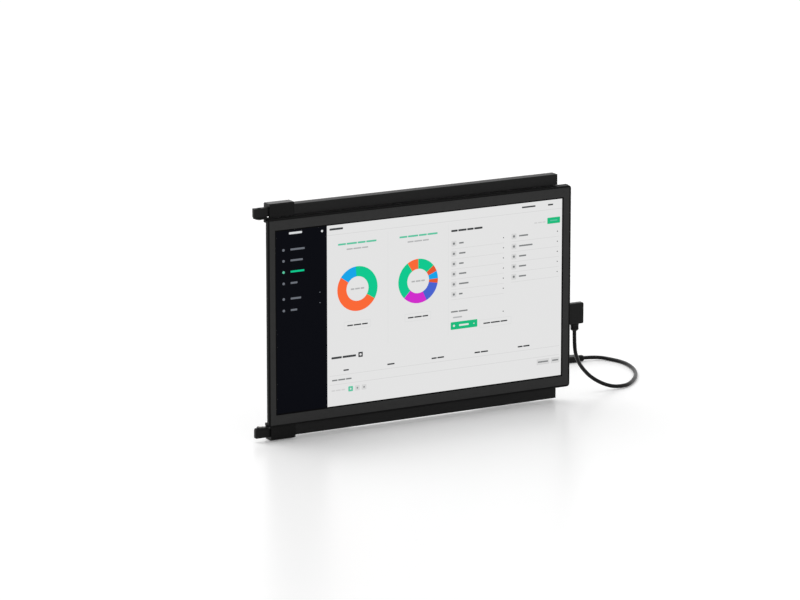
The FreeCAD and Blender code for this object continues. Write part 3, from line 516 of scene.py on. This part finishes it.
def rounded_outline(left, low, right, high, radius=0.0):
    """The corners of an upright rectangle in X and Z, with an arc at each if asked."""
    if radius <= 0.0:
        return [(left, low), (right, low), (right, high), (left, high)]
    points = []
    for x, z, start in ((right - radius, low + radius, -90), (right - radius, high - radius, 0),
                        (left + radius, high - radius, 90), (left + radius, low + radius, 180)):
        for step in range(arc_steps + 1):
            turn = math.radians(start + 90 * step / arc_steps)
            points.append((x + radius * math.cos(turn), z + radius * math.sin(turn)))
    return points


def plate(form, outline, front, back, finish_index=0):
    """Add a closed plate with this outline between two depths."""
    faces = [form.faces.new([form.verts.new((x, front, z)) for x, z in outline]),
             form.faces.new([form.verts.new((x, back, z)) for x, z in reversed(outline)])]
    ahead = list(faces[0].verts)
    behind = list(reversed(faces[1].verts))
    for step in range(len(outline)):
        following = (step + 1) % len(outline)
        faces.append(form.faces.new((ahead[following], ahead[step], behind[step], behind[following])))
    for face in faces:
        face.material_index = finish_index


def plate_piece(name, form, finishes):
    """Turn a finished form into one piece."""
    mesh = bpy.data.meshes.new(name)
    form.to_mesh(mesh)
    form.free()
    for finish in finishes:
        mesh.materials.append(finish)
    return placed(name, mesh)


# %% [markdown]
# The back cover is lower than the frame, so there is a step behind the frame's long edges. Behind the
# slit between the frame and the rail, the laptop lid lies in deep shadow on the real monitor and looks
# black; with nothing behind it, the white background would show. A thin rim in the cover's own plastic,
# from the hinge blocks to the end stops, fills the slit as painted shade: a dark sheet where there is
# only shadow. The real monitor lets no light through between its frame and the rail, but what stops it
# can't be seen from the front. This is a guess: a thin rim in the cover's own plastic, from the hinge
# blocks to the end stops. It turns with the monitor, so nothing fixed to the rails stands in the
# monitor's way.

# %% Painted-shade rims behind the frame
rim_gap = 0.25 * MM
rim_rise = 0.3 * MM
rim_edge = 0.05 * MM
hinge_block_end = -147.9 * MM
cover_low, cover_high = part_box("back_cover")
stop_low, stop_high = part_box("top_end_stop")
rim_top = stop_high.z + rim_rise
form = bmesh.new()
for low, high in ((cover_high.z + rim_gap, rim_top), (-rim_top, -cover_high.z - rim_gap)):
    plate(form, rounded_outline(hinge_block_end + rim_gap, low, stop_low.x - rim_gap, high),
          cover_low.y, cover_high.y)
# Painted shade: a dark rim that closes the shadowed slit behind the frame.
shade_rims = plate_piece("shade_rims", form, [cover_grain])
rim_bevel = shade_rims.modifiers.new("broken edges", "BEVEL")
rim_bevel.width = rim_edge
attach(shade_rims, "monitor")
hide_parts("back_cover")
print("rims in mm: %.1f high" % ((rim_top - cover_high.z - rim_gap) / MM))

# %% [markdown]
# On the hinge side the cover slopes in towards its back, because the monitor's left edge looks as
# thin as the frame alone. Only the corners at the back move, inside and outside alike, so the wall
# keeps about its thickness.

# %% Sloping hinge side
slope_run = 5.0 * MM
slope_zone = 4.5 * MM
slope_start = 2.0 * MM
for corner in made["monitor_cover"].data.vertices:
    near_hinges = corner.co.x < cover_low.x + slope_zone
    at_the_back = corner.co.y > cover_low.y + slope_start
    if near_hinges and at_the_back:
        corner.co.x += slope_run
print("cover slopes in by %.0f mm" % (slope_run / MM))

# %% [markdown]
# Between each slider's tongue and the hinge ear there is a narrow slit round the washers on the pin,
# which lies in shadow and looks dark on the real hinge. A black liner with a hole for the pin fills it
# in place of the washers. It is partly a guessed friction liner and partly painted shade, a dark sheet
# where the slit is dark from shadow. It has to pass through the rail's slot, which sets its width. The
# outline has as many points as the hole, so four rows of quads close it.

# %% Hinge liners, partly painted shade
pin_x, pin_y = -169.0 * MM, -9.2 * MM
pin_hole = 1.3 * MM
slot_reach = 1.85 * MM
liner_right = 8.0 * MM
liner_clearance = 0.1 * MM
liner_square, hole_round = 0.35, 1.0
tongue_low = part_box("top_slider")[0]
ear_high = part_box("top_hinge_ear")[1]
liner_left = pin_x - tongue_low.x - rim_gap


def loop_round_pin(form, left, right, side, power, z):
    """A loop of corners round the pin."""
    corners = []
    for step in range(ring_points):
        x, y = squared(math.tau * step / ring_points, power)
        corners.append(form.verts.new((pin_x + x * (right if x > 0 else left), pin_y + y * side, z)))
    return corners


form = bmesh.new()
for low, high in ((ear_high.z + liner_clearance, tongue_low.z),
                  (-tongue_low.z, -ear_high.z - liner_clearance)):
    rows = [loop_round_pin(form, liner_left, liner_right, slot_reach, liner_square, low),
            loop_round_pin(form, liner_left, liner_right, slot_reach, liner_square, high),
            loop_round_pin(form, pin_hole, pin_hole, pin_hole, hole_round, high),
            loop_round_pin(form, pin_hole, pin_hole, pin_hole, hole_round, low)]
    for first, second in zip(rows, rows[1:] + rows[:1]):
        wall(form, first, second)
bmesh.ops.recalc_face_normals(form, faces=form.faces)
# Partly painted shade: the liner's black stands for the shadow in the slit.
hinge_shade_liners = plate_piece("hinge_shade_liners", form, [slider_plastic])
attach(hinge_shade_liners, "carriage")
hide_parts("hinge_washers")
print("liners in mm: %.2f thick" % ((tongue_low.z - ear_high.z - liner_clearance) / MM))

# %% [markdown]
# The picture is lit from behind, so its colours are light and not paint: each tone is a black,
# nearly matt surface that glows. Screen colours are written from 0 to 255 and turned into light.
# The finest mottle in the roughness stands for the display's anti-glare film.

# %% Lit tones
film_per_metre = 6000.0
film_matt, film_mattest = 0.35, 0.5


def screen_light(red, green, blue):
    """The light that a screen colour gives."""
    return tuple(((value / 255 + 0.055) / 1.055) ** 2.4 for value in (red, green, blue))


def lit_tone(name, colour):
    """A glowing tone under an anti-glare film."""
    finish, shader = blank_finish("lit_" + name, grey(0.0), 0.4, 0.04)
    shader.inputs["Emission Color"].default_value = (*screen_light(*colour), 1.0)
    shader.inputs["Emission Strength"].default_value = 1.0
    film = speckle(finish, film_per_metre, detail=1.0)
    finish.node_tree.links.new(spread(finish, film, film_matt, film_mattest), shader.inputs["Roughness"])
    return finish


tones = {
    "margin": (2, 2, 3), "page": (227, 227, 227), "side": (2, 4, 12), "card": (219, 220, 220),
    "line": (208, 208, 208), "faint": (178, 179, 180), "text": (128, 130, 131), "ink": (62, 64, 66),
    "menu": (108, 112, 120), "bright": (216, 218, 220), "teal": (92, 196, 160), "green": (10, 200, 142),
    "button": (24, 186, 124), "orange": (250, 104, 54), "blue": (18, 164, 232),
    "indigo": (72, 98, 206), "violet": (208, 44, 204), "rust": (228, 88, 46), "key": (212, 212, 212),
}
tone_index = {name: index for index, name in enumerate(tones)}
picture_finishes = [lit_tone(name, colour) for name, colour in tones.items()]
print("tones in the picture:", len(tones))

# %% [markdown]
# The picture itself is a plain page of charts and lists, with bars for words. It is drawn in the
# display's own millimetres, across from the left and down from the top, the way a page designer
# works. Four helpers draw everything: a box, a line of words, a dot and a slice of a ring.

# %% Page helpers
picture_left = -155.0 * MM
picture_top = 87.2 * MM
page_width = 310.0
page_height = 174.4
layer_step = 0.01 * MM
ring_layer = 4
ring_arc = 5
word_gap = 0.8
word_extra = 0.3
word_round = 0.3
panel_low, panel_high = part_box("display_cell")
page = bmesh.new()


def across(u):
    """X of a place on the page."""
    return picture_left + u * MM


def up(v):
    """Z of a place on the page."""
    return picture_top - v * MM


def box_at(u, v, width, height, tone, layer=3, radius=0.0):
    """A filled box with its upper left corner at a place."""
    outline = rounded_outline(across(u), up(v + height), across(u + width), up(v), radius * MM)
    plate(page, outline, panel_low.y - layer * layer_step, panel_low.y + layer_step, tone_index[tone])


def words(u, v, width, tone, height=1.5, count=1, layer=5):
    """Bars for a number of words on one line, each second one a little longer."""
    unit = (width - word_gap * (count - 1)) / (count + word_extra * (count // 2))
    for number in range(count):
        length = unit * (1.0 + word_extra * (number % 2))
        box_at(u, v - height / 2, length, height, tone, layer, radius=height * word_round)
        u += length + word_gap


def dot(u, v, size, tone, layer=5):
    """A small round mark."""
    box_at(u - size / 2, v - size / 2, size, size, tone, layer, radius=size * 0.49)


def ring_slice(u, v, inner, outer, start, end, tone):
    """A slice of a ring, from one clock angle to another."""
    steps = max(2, round((end - start) / ring_arc))
    turns = [math.radians(start + (end - start) * step / steps) for step in range(steps + 1)]
    points = [(across(u + outer * math.sin(turn)), up(v - outer * math.cos(turn))) for turn in turns]
    points += [(across(u + inner * math.sin(turn)), up(v - inner * math.cos(turn)))
               for turn in reversed(turns)]
    points.reverse()
    plate(page, points, panel_low.y - ring_layer * layer_step, panel_low.y + layer_step,
          tone_index[tone])


# %% [markdown]
# The black margin comes first, then the page and the dark menu at its left. The menu has six
# entries in two groups, each with a small mark, and the chosen one is green.

# %% Page, margin and menu
menu_width = 53.6
margin = bmesh.ops.create_cube(page, size=1.0)["verts"]
for corner in margin:
    corner.co = [low + (part + 0.5) * (high - low)
                 for low, high, part in zip(panel_low, panel_high, corner.co)]
box_at(0.0, 0.0, page_width, page_height, "page", layer=1)
box_at(0.0, 0.0, menu_width, page_height, "side", layer=2)
words(13.7, 2.9, 13.7, "bright", height=2.0)
dot(48.5, 4.3, 2.2, "bright")
menu_rows = ((18.4, 15.0), (28.8, 13.0), (39.5, 14.5), (50.3, 7.2), (65.2, 11.0), (76.2, 6.8))
for row, (v, width) in enumerate(menu_rows):
    chosen = row == 2
    dot(7.8, v, 2.6, "teal" if chosen else "menu")
    words(15.1, v, width, "green" if chosen else "menu", height=1.8)
for v in (62.5, 72.5):
    dot(46.0, v, 1.0, "menu")

# %% [markdown]
# The top line of the page has a title at the left and two small items at the right. Two ring charts
# stand in cards below it, each with a heading, a smaller line, a figure in the middle and a button.

# %% Top line and ring charts
words(56.4, 3.9, 14.3, "ink", height=1.9)
words(265.2, 4.2, 15.0, "ink", height=1.5)
words(294.2, 4.6, 5.6, "ink", height=1.5)
box_at(menu_width, 9.2, page_width - menu_width, 0.35, "line")
ring_inner = 11.8
ring_outer = 21.5
chart_height = 63.5
charts = [
    (86.0, 65.4, 41.0, [("green", -5, 122), ("orange", 122, 305), ("blue", 305, 355)]),
    (151.4, 131.2, 41.2, [("green", 0, 51), ("rust", 51, 69), ("blue", 69, 89), ("rust", 89, 101),
                          ("indigo", 101, 155), ("violet", 155, 225), ("green", 225, 328),
                          ("orange", 328, 360)]),
]
for centre, heading, heading_width, slices in charts:
    words(heading, 19.3, heading_width, "teal", height=1.7, count=4)
    words(centre - 11.5, 24.6, 23.0, "faint", height=1.3, count=3)
    for tone, start, end in slices:
        ring_slice(centre, chart_height, ring_inner, ring_outer, start, end, tone)
    words(centre - 7.2, chart_height, 14.4, "faint", height=1.5, count=3)
    box_at(centre - 14.6, 94.2, 28.6, 7.8, "card", radius=1.0)
    box_at(centre - 14.1, 94.7, 27.6, 6.8, "page", layer=4, radius=0.7)
    words(centre - 11.1, 98.2, 22.0, "ink", height=1.3, count=3)
for u in (118.6, 184.2):
    box_at(u, 12.0, 0.3, 108.0, "card")

# %% [markdown]
# The list at the right has a heading and eleven rows in two columns. Each row has a small square
# key, a word, a dot at its end and a fine rule under it.

# %% List
row_pitch = 9.9
word_widths = (5.0, 7.0, 5.0, 8.0, 10.5, 4.0, 10.0, 15.0, 8.0, 8.0, 8.0)
words(187.4, 19.1, 34.2, "ink", height=1.9, count=4)
for row, width in enumerate(word_widths):
    column, line = divmod(row, 6)
    u = 187.6 + 66.2 * column
    v = 31.5 + row_pitch * line
    box_at(u, v - 2.7, 5.4, 5.4, "key", radius=0.6)
    dot(u + 2.7, v, 2.4, "text", layer=6)
    words(u + 8.4, v, width, "text", height=1.5)
    dot(u + 57.3 if column == 0 else u + 51.2, v, 1.1, "ink")
    box_at(u, v + 4.9, 58.0 if column == 0 else 53.0, 0.3, "line")
words(187.3, 97.9, 18.2, "text", height=1.4, count=2)
words(189.5, 103.6, 9.9, "faint", height=1.4)
dot(244.9, 103.6, 1.1, "ink")

# %% [markdown]
# Three buttons: a green one at the top right, a larger green one with a light word on it, and a
# pale one beside it.

# %% Buttons on the page
words(279.0, 20.9, 12.5, "line", height=1.3, count=3)
box_at(293.6, 17.3, 14.2, 6.0, "button", radius=0.6)
words(296.6, 20.3, 8.2, "teal", height=1.2)
box_at(187.0, 108.0, 29.3, 7.4, "button", radius=0.6)
dot(190.6, 111.7, 2.2, "page")
words(196.2, 111.7, 10.6, "page", height=1.7)
dot(212.6, 111.7, 1.2, "page")
box_at(218.6, 109.2, 35.4, 7.8, "card", radius=0.8)
box_at(219.1, 109.7, 34.4, 6.8, "page", layer=4, radius=0.6)
words(223.0, 113.1, 26.6, "ink", height=1.3, count=3)

# %% [markdown]
# Along the bottom runs a table: a heading with a dark counter, five column names, one row between
# two rules, and below it three small page keys at the left and two buttons at the right.

# %% Table on the page
words(58.0, 127.8, 26.2, "ink", height=2.0, count=2)
box_at(86.8, 125.1, 4.7, 4.9, "ink", radius=0.5)
dot(89.15, 127.55, 2.2, "page", layer=6)
for u, width in ((70.8, 5.7), (118.0, 7.8), (166.1, 13.7), (213.4, 14.9), (261.4, 13.2)):
    words(u, 140.8, width, "ink", height=1.4, count=2 if width > 10 else 1)
for v in (144.8, 153.6):
    box_at(56.0, v, 252.0, 0.35, "line")
words(58.5, 149.5, 20.9, "text", height=1.4, count=3)
words(57.9, 159.5, 14.5, "line", height=1.3, count=3)
for u, tone in ((75.9, "teal"), (83.1, "key"), (90.3, "key")):
    box_at(u, 157.1, 5.0, 5.0, tone, radius=0.6)
    dot(u + 2.5, 159.6, 1.6, "page" if tone == "teal" else "text", layer=6)
for u, width in ((282.8, 14.2), (298.8, 9.6)):
    box_at(u, 156.0, width, 5.6, "key", radius=0.6)
    words(u + 1.4, 158.8, width - 2.8, "text", height=1.4, layer=6)

# %% [markdown]
# All the plates become one piece, which rides on the monitor and stands for the plain display cell.

# %% Picture on the display
lit_picture = plate_piece("lit_picture", page, picture_finishes)
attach(lit_picture, "monitor")
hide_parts("display_cell")
print("faces in the picture:", len(lit_picture.data.polygons))

# %% [markdown]
# The screws in the back cover and the collars show from behind. Each new screw stands where its
# solid stands. One node holds several solids, so they are told apart by walking along the edges: what
# can be reached from one corner is one screw.

# %% Where the screws stand


def loose_boxes(node):
    """The box of each separate solid in a node."""
    form = bmesh.new()
    form.from_mesh(solids[node].data)
    bmesh.ops.remove_doubles(form, verts=form.verts, dist=same_spot)
    left, found = set(form.verts), []
    while left:
        reached = {left.pop()}
        edge_of_search = list(reached)
        while edge_of_search:
            vertex = edge_of_search.pop()
            for edge in vertex.link_edges:
                other = edge.other_vert(vertex)
                if other in left:
                    left.remove(other)
                    reached.add(other)
                    edge_of_search.append(other)
        spots = [vertex.co for vertex in reached]
        found.append((Vector([min(spot[axis] for spot in spots) for axis in range(3)]),
                      Vector([max(spot[axis] for spot in spots) for axis in range(3)])))
    form.free()
    return sorted(found, key=lambda pair: (round(pair[0].x, 4), round(pair[0].z, 4)))


# %% [markdown]
# A screw's head is a turned disc with a cross recess. The recess is a real hollow: the head's face is
# filled round a cross outline, and the cross goes down to its own floor.

# %% One screw
screw_sides = 32
rim_share, cross_reach, cross_width, cross_depth = 0.08, 0.55, 0.13, 0.6


def cross_outline(reach, half_width):
    """The twelve corners of a cross."""
    corner = [(half_width, half_width), (half_width, reach), (-half_width, reach)]
    points = []
    for turn in range(4):
        cosine, sine = round(math.cos(turn * math.pi / 2)), round(math.sin(turn * math.pi / 2))
        points += [(x * cosine - z * sine, x * sine + z * cosine) for x, z in corner]
    return points


def screw_head(form, centre, face_depth, radius, thick, shank, length):
    """One screw along Y, with its recess towards +Y."""
    rim = radius * rim_share
    recess = cross_outline(radius * cross_reach, radius * cross_width)

    def loop(points, depth):
        return [form.verts.new((centre[0] + x, depth, centre[1] + z)) for x, z in points]

    def circle(size):
        turns = [math.tau * step / screw_sides for step in range(screw_sides)]
        return [(size * math.cos(turn), size * math.sin(turn)) for turn in turns]

    top = loop(circle(radius - rim), face_depth)
    mouth = loop(recess, face_depth)
    pocket = loop(recess, face_depth - thick * cross_depth)
    edges = [form.edges.new((row[step], row[(step + 1) % len(row)])) for row in (top, mouth)
             for step in range(len(row))]
    bmesh.ops.triangle_fill(form, use_beauty=True, edges=edges)
    wall(form, mouth, pocket)
    form.faces.new(pocket)
    rows = [top, loop(circle(radius), face_depth - rim), loop(circle(radius), face_depth - thick),
            loop(circle(shank), face_depth - thick), loop(circle(shank), face_depth - length)]
    for first, second in zip(rows, rows[1:]):
        wall(form, first, second)
    form.faces.new(rows[-1])


# %% [markdown]
# All the screws of a node become one piece. The sharp corners of the recess stay sharp, and the round
# side of the head is shaded smooth.

# %% Sets of screws
head_thick = 0.62 * MM


def screw_set(name, node, head_radius, shank_radius, body):
    """All the screws of a node, as one piece."""
    form = bmesh.new()
    places = loose_boxes(node)
    for low, high in places:
        screw_head(form, ((low.x + high.x) / 2, (low.z + high.z) / 2), high.y, head_radius, head_thick,
                   shank_radius, high.y - low.y)
    bmesh.ops.recalc_face_normals(form, faces=form.faces)
    piece = plate_piece(name, form, [black_oxide])
    piece.data.shade_smooth()
    piece.data.set_sharp_from_angle(angle=edge_angle)
    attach(piece, body)
    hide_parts(node)
    print(name, "has", len(places), "screws")


screw_set("cover_cross_screws", "cover_screws", 1.46 * MM, 0.72 * MM, "monitor")
screw_set("collar_cross_screws", "collar_screws", 1.28 * MM, 0.68 * MM, "rails")

# %% [markdown]
# The other solids already have the right shape, so they only take a finish. Each one's material
# slot is emptied and filled again, and its mesh stays as it is.

# %% Finishes for the solids that stay
kept_solids = {
    foot_pad: ("adhesive_pads",),
    bright_nickel: ("foot_magnets", "hinge_pins", "spring_discs", "hinge_nuts",
                    "power_data_socket", "plug_shell", "far_plug_shell", "board_screws"),
    black_oxide: ("foot_screws", "ear_screws"),
    milky_film: ("diffuser_sheet", "panel_frame"),
    clear_acrylic: ("light_guide",),
    lamp_white: ("lamp_strip",),
    silver_film: ("reflector_sheet",),
    solder_mask: ("driver_board", "button_board"),
    chip_epoxy: ("board_chips", "key_switches"),
    amber_film: ("panel_ribbon",),
}
for finish, nodes_in_it in kept_solids.items():
    for node in nodes_in_it:
        solids[node].data.materials.clear()
        solids[node].data.materials.append(finish)
print("solids that stay:", sum(len(group) for group in kept_solids.values()))

# %% [markdown]
# The studio starts with a pale table so wide that its far edge isn't noticed. The table's own colour
# makes the white, with a small lift that only the camera sees, and its dull gloss mirrors the monitor
# faintly.

# %% Table
table_height = -114.0 * MM
table_half = 40.0
form = bmesh.new()
for x, y in ((-1, -1), (1, -1), (1, 1), (-1, 1)):
    form.verts.new((x * table_half, y * table_half, table_height))
form.faces.new(list(form.verts))
table_white, table_shader = blank_finish("table_white", grey(0.88), 0.3, 0.3)
table = plate_piece("table", form, [table_white])
camera_lift = 0.16
light_path = table_white.node_tree.nodes.new("ShaderNodeLightPath")
lift = table_white.node_tree.nodes.new("ShaderNodeMath")
lift.operation = "MULTIPLY"
lift.inputs[1].default_value = camera_lift
table_white.node_tree.links.new(light_path.outputs["Is Camera Ray"], lift.inputs[0])
table_white.node_tree.links.new(lift.outputs["Value"], table_shader.inputs["Emission Strength"])
table_shader.inputs["Emission Color"].default_value = (1.0, 1.0, 1.0, 1.0)
print("table lies %.0f mm under the picture's middle" % (-table_height / MM))

# %% [markdown]
# The sky lights the product at half strength. The camera, reflections and clear pieces see it at full
# strength, which is white, so the background is even and the plastics still mirror a white room.

# %% Sky
sky_light = 0.5
world = bpy.data.worlds.new("studio")
bpy.context.scene.world = world
world.use_nodes = True
sky = world.node_tree.nodes["Background"]
seen = world.node_tree.nodes.new("ShaderNodeLightPath")
seen_by_camera_or_gloss = world.node_tree.nodes.new("ShaderNodeMath")
seen_through = world.node_tree.nodes.new("ShaderNodeMath")
sky_strength = world.node_tree.nodes.new("ShaderNodeMapRange")
seen_by_camera_or_gloss.operation = "MAXIMUM"
seen_through.operation = "MAXIMUM"
sky_strength.inputs["To Min"].default_value = sky_light
sky_strength.inputs["To Max"].default_value = 1.0
sky_wires = (
    (seen.outputs["Is Camera Ray"], seen_by_camera_or_gloss.inputs[0]),
    (seen.outputs["Is Glossy Ray"], seen_by_camera_or_gloss.inputs[1]),
    (seen_by_camera_or_gloss.outputs["Value"], seen_through.inputs[0]),
    (seen.outputs["Is Transmission Ray"], seen_through.inputs[1]),
    (seen_through.outputs["Value"], sky_strength.inputs["Value"]),
    (sky_strength.outputs["Result"], sky.inputs["Strength"]),
)
for source, target in sky_wires:
    world.node_tree.links.new(source, target)
sky.inputs["Color"].default_value = (1.0, 1.0, 1.0, 1.0)
print("wires in the sky:", len(sky_wires))

# %% [markdown]
# One wide soft lamp stands high and a little behind the monitor, so that upward faces shine and the
# front stays dark. It is a broad sun, because its light is the same all over the table.

# %% Lamp


def broad_sun(name, towards, strength, width):
    """A sun lamp that shines from a direction, with a wide soft disc."""
    lamp = bpy.data.lights.new(name, "SUN")
    lamp.energy = strength
    lamp.angle = math.radians(width)
    thing = placed(name, lamp)
    thing.rotation_euler = (-Vector(towards)).to_track_quat("-Z", "Y").to_euler()


lamp_direction = (-0.25, 0.45, 1.0)
lamp_strength = 1.7
lamp_width = 70.0
broad_sun("high_lamp", lamp_direction, lamp_strength, lamp_width)
bpy.context.scene.view_settings.view_transform = "Standard"
print("lamp is %.0f degrees wide" % lamp_width)
